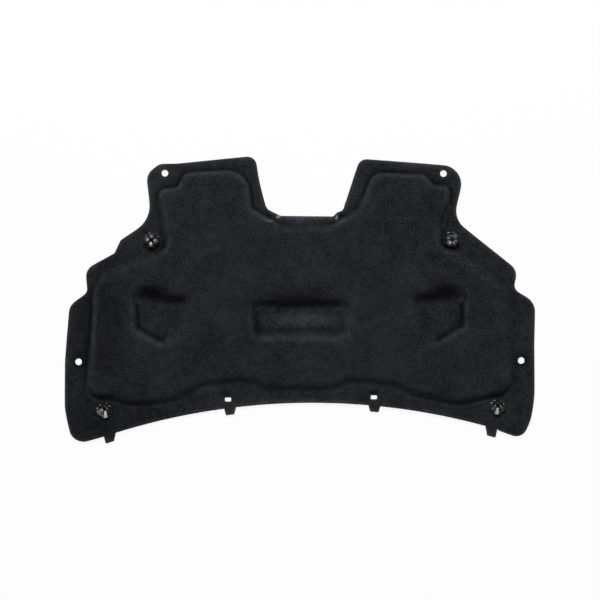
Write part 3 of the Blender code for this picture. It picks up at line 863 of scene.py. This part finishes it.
@dataclass
class LooseFibres:
    """Fibres that stand out of the felt's hood side and its edges."""

    name: str = "felt_fibres"
    number: float = 9000.0
    edge_number: float = 60000.0
    length: float = 0.0042
    radius: float = 0.00009
    bend: float = 0.0012
    tilt: float = 1.35
    sizes: Pair = (0.45, 1.2)
    segments: int = 2
    sides: int = 3
    upward_range: Pair = (-0.6, -0.2)
    edge_range: Pair = (0.3, 0.9)
    seed: int = 3
    inputs: tuple[str, ...] = ("number", "edge_number", "length", "radius", "bend", "seed")

    def tree(self) -> tuple[bpy.types.NodeTree, dict[str, str]]:
        """Write the tree that scatters fibres over a surface.

        Returns:
            The tree, and the identifiers of its named inputs.
        """
        group = bpy.data.node_groups.new("loose fibres", "GeometryNodeTree")
        nodes = NodeTree(group)
        sockets = group.interface
        sockets.new_socket("Geometry", in_out="INPUT", socket_type="NodeSocketGeometry")
        names = {}
        for label in self.inputs:
            kind = "NodeSocketInt" if label == "seed" else "NodeSocketFloat"
            names[label] = sockets.new_socket(label, in_out="INPUT", socket_type=kind).identifier
        sockets.new_socket("Geometry", in_out="OUTPUT", socket_type="NodeSocketGeometry")
        given = nodes.add("NodeGroupInput").outputs
        normal = nodes.add("GeometryNodeInputNormal").outputs[0]
        seen = nodes.between(nodes.add("ShaderNodeSeparateXYZ", {0: normal}).outputs["Z"], self.upward_range)
        edge = nodes.add("GeometryNodeInputNamedAttribute", {"Name": "cut"}, data_type="FLOAT").outputs[0]
        extra = nodes.maths("MULTIPLY", nodes.between(edge, self.edge_range), given["edge_number"])
        density = nodes.maths("MULTIPLY", nodes.maths("ADD", given["number"], extra), seen)
        inputs = {"Mesh": given["Geometry"], "Density": density, "Seed": given["seed"]}
        spread = nodes.add("GeometryNodeDistributePointsOnFaces", inputs, distribute_method="RANDOM")
        strand = self.strand(nodes, given)
        least, most = (-self.tilt, -self.tilt, 0.0), (self.tilt, self.tilt, 2 * math.pi)
        tilts = {0: least, 1: most, "Seed": given["seed"]}
        tilt = nodes.add("FunctionNodeRandomValue", tilts, data_type="FLOAT_VECTOR").outputs[0]
        tilted = nodes.add("FunctionNodeEulerToRotation", {0: tilt}).outputs[0]
        ways = {0: spread.outputs["Rotation"], 1: tilted}
        turn = nodes.add("FunctionNodeRotateRotation", ways, rotation_space="LOCAL").outputs[0]
        sizes = {2: self.sizes[0], 3: self.sizes[1], "Seed": given["seed"]}
        size = nodes.add("FunctionNodeRandomValue", sizes, data_type="FLOAT").outputs[1]
        inputs = {"Points": spread.outputs["Points"], "Instance": strand, "Rotation": turn, "Scale": size}
        placed = nodes.add("GeometryNodeInstanceOnPoints", inputs).outputs[0]
        real = nodes.add("GeometryNodeRealizeInstances", {0: placed}).outputs[0]
        nodes.add("NodeGroupOutput", {0: real})
        return group, names

    def strand(self, nodes: NodeTree, given: bpy.types.NodeOutputs) -> NodeSocket:
        """One bent fibre, as nodes.

        Args:
            nodes: the tree to write in.
            given: the group's inputs.

        Returns:
            The fibre's geometry socket.
        """
        half = nodes.maths("MULTIPLY", given["length"], 0.5)
        middle = nodes.add("ShaderNodeCombineXYZ", {0: given["bend"], 2: half}).outputs[0]
        tip = nodes.add("ShaderNodeCombineXYZ", {2: given["length"]}).outputs[0]
        places = {"Resolution": self.segments, "Start": (0.0, 0.0, 0.0), "Middle": middle, "End": tip}
        line = nodes.add("GeometryNodeCurveQuadraticBezier", places).outputs[0]
        ring = {"Resolution": self.sides, "Radius": given["radius"]}
        section = nodes.add("GeometryNodeCurvePrimitiveCircle", ring).outputs[0]
        inputs = {"Curve": line, "Profile Curve": section, "Fill Caps": True}
        return nodes.add("GeometryNodeCurveToMesh", inputs).outputs[0]

    def build(self, panel: Object) -> Object:
        """Grow the fibres on the panel.

        Args:
            panel: the felt panel.

        Returns:
            The fibres as one plain mesh.
        """
        group, names = self.tree()
        grower = in_scene(self.name, panel.data.copy())
        modifier = grower.modifiers.new("fibres", "NODES")
        modifier.node_group = group
        for label, name in names.items():
            modifier[name] = getattr(self, label)
        plain_mesh(grower)
        return grower

    def dress(self, fibres: Object, finish: Material) -> None:
        """Give the fibres their finish and let them ride on the part.

        Args:
            fibres: the fibres' object.
            finish: the loose fibre.
        """
        fibres.data.materials.clear()
        fibres.data.materials.append(finish)
        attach(fibres, ROOT)


@dataclass(frozen=True)
class ClipPose:
    """How a clip's crown is turned and leans, in degrees, and how full its prongs are."""

    node: str
    turn: float
    lean: float
    towards: float
    fullness: float

    def rotation(self) -> Matrix:
        """Work out the crown's lean and turn.

        Returns:
            The matrix.
        """
        towards = math.radians(self.towards)
        hinge = Vector((-math.sin(towards), math.cos(towards), 0.0))
        lean = Matrix.Rotation(math.radians(self.lean), 4, hinge)
        return lean @ Matrix.Rotation(math.radians(self.turn), 4, "Z")


@dataclass
class PushClip:
    """One moulded push-in clip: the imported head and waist, and a crown of four full, hollow prongs."""

    pose: ClipPose
    crown_height: float = 0.024
    widest: float = 0.005
    band: float = 0.0015
    base_ridge: float = 0.0166
    base_half: float = 0.004
    tip_ridge: float = 0.006
    tip_half: float = 0.0018
    tip_rounding: float = 0.0011
    slit: float = 0.003
    base_hollow: float = 0.0118
    tip_hollow: float = 0.0039
    levels: int = 10
    hollow_sides: int = 5
    tip_depth: float = 0.0002
    bevel: float = 0.00035
    bevel_steps: int = 2
    bevel_turn: float = math.radians(28)
    smooth_turn: float = math.radians(40)
    flat_turn: float = math.radians(0.5)

    def section(self, ridge: float, half: float, hollow: float) -> list[Pair]:
        """Outline of one prong, in the quarter where X and Y are positive.

        Args:
            ridge: distance of the prong's narrow ridge face from the axis.
            half: half the ridge face's width.
            hollow: radius of the hollow.

        Returns:
            Corners, anticlockwise.
        """
        near, far = (ridge - half) / math.sqrt(2), (ridge + half) / math.sqrt(2)
        edge = self.slit / 2
        start = math.acos(edge / hollow)
        angles = np.linspace(start, math.pi / 2 - start, self.hollow_sides)
        inner = [(hollow * math.cos(angle), hollow * math.sin(angle)) for angle in angles]
        return [(far, edge), (far, near), (near, far), (edge, far), *inner]

    def profile(self) -> list[tuple[float, float, float, float]]:
        """Follow a prong from its barb to its tip.

        Returns:
            Height, ridge distance, half the ridge's width and hollow radius at every level.
        """
        foot = self.widest + self.band
        rows = [(self.widest + self.band / 2, self.base_ridge, self.base_half, self.base_hollow)]
        for level in range(self.levels + 1):
            share = level / self.levels
            height = foot + (self.crown_height - self.tip_rounding - foot) * share
            taper = share**self.pose.fullness
            ridge = self.base_ridge + (self.tip_ridge - self.base_ridge) * taper
            half = self.base_half + (self.tip_half - self.base_half) * taper
            hollow = self.base_hollow + (self.tip_hollow - self.base_hollow) * share
            rows.append((height, ridge, half, hollow))
        rows.append((self.crown_height, self.tip_ridge - self.tip_rounding, self.tip_half, self.tip_hollow))
        return rows

    def add_prong(self, mesh: BMesh, place: Matrix) -> None:
        """Loft a prong through its sections.

        Args:
            mesh: the mesh to add it to.
            place: where it stands.
        """
        rings = []
        for height, ridge, half, hollow in self.profile():
            corners = self.section(ridge, half, hollow)
            rings.append([mesh.verts.new(place @ Vector((x, y, height))) for x, y in corners])
        made = [mesh.faces.new(rings[0][::-1]), mesh.faces.new(rings[-1])]
        for lower, upper in zip(rings, rings[1:]):
            for k in range(len(lower)):
                after = (k + 1) % len(lower)
                made.append(mesh.faces.new((lower[k], lower[after], upper[after], upper[k])))
        bmesh.ops.recalc_face_normals(mesh, faces=made)

    def moulding(self) -> BMesh:
        """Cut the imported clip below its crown's taper and stand the prongs on it.

        Returns:
            The clip's mesh.
        """
        mesh = CadShape(self.pose.node).merged()
        axis = self.pose.rotation() @ Vector((0.0, 0.0, 1.0))
        top = max(axis.dot(v.co) for v in mesh.verts)
        tips = [v.co for v in mesh.verts if axis.dot(v.co) > top - self.tip_depth]
        tip = sum(tips, Vector()) / len(tips)
        seat = Matrix.Translation((0.0, 0.0, -self.crown_height))
        place = Matrix.Translation(tip) @ self.pose.rotation() @ seat
        everything = [*mesh.verts, *mesh.edges, *mesh.faces]
        level = place @ Vector((0.0, 0.0, self.widest + self.band / 2))
        cut = bmesh.ops.bisect_plane(mesh, geom=everything, plane_co=level, plane_no=axis, clear_outer=True)
        rim = [item for item in cut["geom_cut"] if isinstance(item, BMEdge)]
        bmesh.ops.holes_fill(mesh, edges=rim, sides=0)
        flats = {"verts": mesh.verts, "edges": mesh.edges, "delimit": {"NORMAL"}}
        bmesh.ops.dissolve_limit(mesh, angle_limit=self.flat_turn, **flats)
        for quarter in range(4):
            self.add_prong(mesh, place @ Matrix.Rotation(quarter * math.pi / 2, 4, "Z"))
        return mesh

    def build(self) -> Object:
        """Make the clip with the small edge radii of a moulding.

        Returns:
            The clip.
        """
        mesh = self.moulding()
        data = bpy.data.meshes.new(self.pose.node + "_moulding")
        mesh.to_mesh(data)
        mesh.free()
        made = in_scene(data.name, data)
        rounding = made.modifiers.new("edge radii", "BEVEL")
        rounding.width = self.bevel
        rounding.segments = self.bevel_steps
        rounding.limit_method = "ANGLE"
        rounding.angle_limit = self.bevel_turn
        rounding.use_clamp_overlap = True
        rounded = plain_mesh(made)
        rounded.shade_smooth()
        rounded.set_sharp_from_angle(angle=self.smooth_turn)
        return made

    def dress(self, clip: Object, finish: Material) -> None:
        """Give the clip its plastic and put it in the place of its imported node.

        Args:
            clip: the clip's object.
            finish: the plastic.
        """
        clip.data.materials.clear()
        clip.data.materials.append(finish)
        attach(clip, ROOT)
        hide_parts(self.pose.node)


CLIP_POSES = (
    ClipPose("clip_front_left", 39.0, 0.0, 0.0, 1.8),
    ClipPose("clip_front_right", 5.0, 0.0, 0.0, 1.8),
    ClipPose("clip_rear_left", 56.0, 15.5, 62.0, 1.05),
    ClipPose("clip_rear_right", 128.0, 11.5, 95.0, 1.05),
)


@dataclass(frozen=True)
class FeltFinish:
    """Black needle-punched felt: matted fibres, a soft sheen, pressed spots that are polished and painted
    with a glint, a painted highlight along the cut edge, and painted shade and highlights from the panel's
    tone map.
    """

    dark: Triple = (0.005, 0.0053, 0.0066)
    light: Triple = (0.0315, 0.0326, 0.0392)
    # Colour of the painted glint on the pressed spots.
    pressed: Triple = (0.2, 0.2, 0.205)
    # Colour of the painted highlight along the cut edge.
    rim: Triple = (0.066, 0.0645, 0.06)
    specular: float = 0.01
    sheen: float = 0.08
    sheen_roughness: float = 0.45
    sheen_tint: Triple = (0.55, 0.57, 0.66)
    roughness: Pair = (0.92, 0.42)
    layers: tuple[NoiseLayer, ...] = (
        NoiseLayer(620.0, 3.0, 0.65, 0.35),
        NoiseLayer(270.0, 2.0, 0.5, 0.85),
        NoiseLayer(240.0, 2.0, 0.6, 0.35, (20.0, -50.0, 85.0), 7.0),
        NoiseLayer(14.0, 2.0, 0.5, 0.4),
        NoiseLayer(70.0, 3.0, 0.6, 0.5),
    )
    tone_range: Pair = (0.96, 1.64)
    rim_range: Pair = (1.0, 1.6)
    rim_shares: Pair = (0.25, 0.85)
    painted_glint_range: Pair = (0.25, 0.95)
    polish_range: Pair = (0.25, 0.9)
    bump: float = 0.55
    bump_height: float = 0.0005

    def make(self) -> Material:
        """Write the felt's nodes.

        Returns:
            The material.
        """
        material, nodes = new_material("needle felt")
        place = nodes.add("ShaderNodeTexCoord").outputs["Object"]
        tone = nodes.fold("ADD", [layer.make(nodes, place) for layer in self.layers])
        colour = nodes.blend(nodes.between(tone, self.tone_range), (*self.dark, 1.0), (*self.light, 1.0))
        # Painted highlight along the cut edge, broken up by the felt's grain.
        painted_edge_highlight = nodes.between(tone, self.rim_range, self.rim_shares)
        painted_edge_highlight = nodes.maths("MULTIPLY", nodes.attribute("rim"), painted_edge_highlight)
        colour = nodes.blend(painted_edge_highlight, colour, (*self.rim, 1.0))
        # The tone attribute paints shade and highlights into the colour.
        scaling = {0: colour, "Scale": nodes.attribute("tone")}
        colour = nodes.add("ShaderNodeVectorMath", scaling, operation="SCALE").outputs[0]
        # Pressed spots get a painted glint in their colour and a lower roughness.
        polish_and_painted_glint = nodes.attribute("polish_and_painted_glint")
        colour = nodes.blend(nodes.between(polish_and_painted_glint, self.painted_glint_range), colour, (*self.pressed, 1.0))
        bumps = {"Strength": self.bump, "Distance": self.bump_height, "Height": tone}
        inputs = {
            "Base Color": colour,
            "Roughness": nodes.between(polish_and_painted_glint, self.polish_range, self.roughness),
            "Specular IOR Level": self.specular,
            "Sheen Weight": self.sheen,
            "Sheen Roughness": self.sheen_roughness,
            "Sheen Tint": (*self.sheen_tint, 1.0),
            "Normal": nodes.add("ShaderNodeBump", bumps).outputs[0],
        }
        shader = nodes.add("ShaderNodeBsdfPrincipled", inputs)
        nodes.add("ShaderNodeOutputMaterial", {"Surface": shader.outputs[0]})
        return material


@dataclass(frozen=True)
class FibreFinish:
    """The loose fibres, a little paler than the felt that they stand on."""

    dark: Triple = (0.01, 0.0103, 0.012)
    light: Triple = (0.06, 0.061, 0.068)
    roughness: float = 0.7
    specular: float = 0.3
    noise: NoiseLayer = NoiseLayer(160.0, 1.0)
    noise_range: Pair = (0.35, 0.7)

    def make(self) -> Material:
        """Write the fibres' nodes.

        Returns:
            The material.
        """
        material, nodes = new_material("loose fibre")
        place = nodes.add("ShaderNodeTexCoord").outputs["Object"]
        patch = nodes.between(self.noise.make(nodes, place), self.noise_range)
        colour = nodes.blend(patch, (*self.dark, 1.0), (*self.light, 1.0))
        inputs = {"Base Color": colour, "Roughness": self.roughness, "Specular IOR Level": self.specular}
        shader = nodes.add("ShaderNodeBsdfPrincipled", inputs)
        nodes.add("ShaderNodeOutputMaterial", {"Surface": shader.outputs[0]})
        return material


@dataclass(frozen=True)
class PlasticFinish:
    """Glossy black moulded plastic with faint flow marks and rubbed spots."""

    colour: Triple = (0.0085, 0.0086, 0.0095)
    rubbed: Triple = (0.023, 0.023, 0.025)
    roughness: Pair = (0.25, 0.42)
    specular: float = 0.5
    flow: NoiseLayer = NoiseLayer(140.0)
    rub: NoiseLayer = NoiseLayer(420.0, 3.0, 0.6)
    rub_range: Pair = (0.52, 0.75)
    rub_dulling: float = 0.3
    dull_range: Pair = (0.35, 1.0)
    bump: float = 0.12
    bump_height: float = 0.0003

    def make(self) -> Material:
        """Write the plastic's nodes.

        Returns:
            The material.
        """
        material, nodes = new_material("clip plastic")
        place = nodes.add("ShaderNodeTexCoord").outputs["Object"]
        flow = self.flow.make(nodes, place)
        worn = nodes.between(self.rub.make(nodes, place), self.rub_range)
        dulled = nodes.maths("ADD", flow, nodes.maths("MULTIPLY", worn, self.rub_dulling))
        bumps = {"Strength": self.bump, "Distance": self.bump_height, "Height": flow}
        inputs = {
            "Base Color": nodes.blend(worn, (*self.colour, 1.0), (*self.rubbed, 1.0)),
            "Roughness": nodes.between(dulled, self.dull_range, self.roughness),
            "Specular IOR Level": self.specular,
            "Normal": nodes.add("ShaderNodeBump", bumps).outputs[0],
        }
        shader = nodes.add("ShaderNodeBsdfPrincipled", inputs)
        nodes.add("ShaderNodeOutputMaterial", {"Surface": shader.outputs[0]})
        return material


@dataclass(frozen=True)
class SoftBox:
    """A rectangular lamp that is aimed at the middle of the panel."""

    name: str
    place: Triple
    size: Pair
    power: float
    only_in_gloss: bool = False

    def build(self) -> None:
        """Hang the lamp."""
        lamp = bpy.data.lights.new(self.name, "AREA")
        lamp.shape = "RECTANGLE"
        lamp.size, lamp.size_y = self.size
        lamp.energy = self.power
        made = in_scene(self.name, lamp)
        made.location = self.place
        made.rotation_euler = (-Vector(self.place)).to_track_quat("-Z", "Y").to_euler()
        made.visible_diffuse = not self.only_in_gloss
        made.visible_camera = False


@dataclass
class Studio:
    """The pale floor, the soft light and the camera that looks straight down."""

    floor_size: float = 14.0
    floor_drop: float = 0.0002
    floor_colour: float = 0.88
    floor_glow: float = 0.92
    underside_reach: float = 0.03
    fill_levels: Pair = (0.9, 0.16)
    horizon: Pair = (-0.02, 0.0)
    overhead: float = 0.12
    overhead_range: Pair = (0.45, 0.85)
    lamps: tuple[SoftBox, ...] = (
        SoftBox("key", (-0.15, 3.1, 3.97), (2.6, 1.3), 268.0),
        SoftBox("rear card", (-0.1, -2.6, 0.6), (3.0, 1.1), 190.0, True),
        SoftBox("front card", (0.0, 2.6, 0.5), (3.0, 0.9), 45.0, True),
        SoftBox("right card", (2.6, 0.2, 0.5), (2.6, 0.9), 44.0, True),
        SoftBox("left card", (-2.6, -0.2, 0.5), (2.6, 0.9), 80.0, True),
    )
    camera_distance: float = 6.0
    sensor: float = 36.0
    pixels: int = 600
    pixel_size: float = 0.0021245
    middle_pixel: Pair = (300.0, 299.6)
    look_height: float = 0.008

    def seen_directly(self, nodes: NodeTree) -> NodeSocket:
        """Whether a ray comes from the camera, a gloss or a glass, as 0 or 1."""
        path = nodes.add("ShaderNodeLightPath").outputs
        return nodes.fold("MAXIMUM", [path[f"Is {ray} Ray"] for ray in ("Camera", "Glossy", "Transmission")])

    def floor(self) -> None:
        """Lay the white floor, which is clear from below and lets light up to the panel's own underside."""
        mesh = bmesh.new()
        low = Matrix.Translation((0.0, 0.0, -self.floor_drop))
        bmesh.ops.create_grid(mesh, x_segments=1, y_segments=1, size=self.floor_size / 2, matrix=low)
        data = bpy.data.meshes.new("floor")
        mesh.to_mesh(data)
        mesh.free()
        made = in_scene("floor", data)
        material, nodes = new_material("white floor")
        paint = nodes.add("ShaderNodeBsdfDiffuse", {"Color": (*[self.floor_colour] * 3, 1.0)})
        glow = nodes.add("ShaderNodeEmission", {"Strength": 1.0})
        share = nodes.maths("MULTIPLY", self.seen_directly(nodes), self.floor_glow)
        lit = nodes.add("ShaderNodeMixShader", {0: share, 1: paint.outputs[0], 2: glow.outputs[0]})
        clear = nodes.add("ShaderNodeBsdfTransparent")
        below = nodes.add("ShaderNodeNewGeometry").outputs["Backfacing"]
        path = nodes.add("ShaderNodeLightPath").outputs
        close = nodes.maths("LESS_THAN", path["Ray Length"], self.underside_reach)
        beneath = nodes.maths("MULTIPLY", close, path["Is Diffuse Ray"])
        open_share = nodes.maths("MAXIMUM", below, beneath)
        whole = nodes.add("ShaderNodeMixShader", {0: open_share, 1: lit.outputs[0], 2: clear.outputs[0]})
        nodes.add("ShaderNodeOutputMaterial", {"Surface": whole.outputs[0]})
        data.materials.append(material)

    def sky(self) -> None:
        """Light everything evenly and show white behind it."""
        world = bpy.data.worlds.new("studio")
        bpy.context.scene.world = world
        world.use_nodes = True
        nodes = NodeTree(world.node_tree)
        way = nodes.add("ShaderNodeTexCoord").outputs["Generated"]
        height = nodes.add("ShaderNodeSeparateXYZ", {0: way}).outputs["Z"]
        gloss = nodes.add("ShaderNodeLightPath").outputs["Is Glossy Ray"]
        dimming = nodes.between(height, self.overhead_range, (0.0, 1.0 - self.overhead))
        shown = nodes.maths("SUBTRACT", 1.0, nodes.maths("MULTIPLY", gloss, dimming))
        seen = self.seen_directly(nodes)
        fill = nodes.between(height, self.horizon, self.fill_levels)
        lit = nodes.maths("MULTIPLY", nodes.maths("SUBTRACT", 1.0, seen), fill)
        level = nodes.maths("ADD", lit, nodes.maths("MULTIPLY", seen, shown))
        shader = nodes.add("ShaderNodeBackground", {"Color": (1.0, 1.0, 1.0, 1.0), "Strength": level})
        nodes.add("ShaderNodeOutputWorld", {"Surface": shader.outputs[0]})

    def camera(self) -> None:
        """Look straight down at the photograph's scale."""
        width = self.pixels * self.pixel_size
        lens = bpy.data.cameras.new("camera")
        lens.sensor_width = self.sensor
        lens.lens = lens.sensor_width * self.camera_distance / width
        made = in_scene("camera", lens)
        middle = self.pixels / 2
        x = (middle - self.middle_pixel[0]) * self.pixel_size
        y = (self.middle_pixel[1] - middle) * self.pixel_size
        made.location = (x, y, self.camera_distance + self.look_height)
        bpy.context.scene.camera = made

    def build(self) -> None:
        """Set up the whole studio."""
        bpy.context.scene.view_settings.view_transform = "Standard"
        self.floor()
        self.sky()
        for lamp in self.lamps:
            lamp.build()
        self.camera()


def report(piece: Object) -> None:
    """Log a piece and its triangles."""
    piece.data.calc_loop_triangles()
    LOG.info("%s: %d triangles", piece.name, len(piece.data.loop_triangles))


def main() -> None:
    """Dress the pad, part by part."""
    logging.basicConfig(level=logging.INFO, format="%(name)s: %(message)s")
    Studio().build()
    panel, fibres = FeltPanel(), LooseFibres()
    felt = panel.build()
    loose = fibres.build(felt)
    panel.dress(felt, FeltFinish().make())
    fibres.dress(loose, FibreFinish().make())
    report(felt)
    report(loose)
    plastic = PlasticFinish().make()
    for pose in CLIP_POSES:
        clip = PushClip(pose)
        made = clip.build()
        clip.dress(made, plastic)
        report(made)


if __name__ == "__main__":
    main()
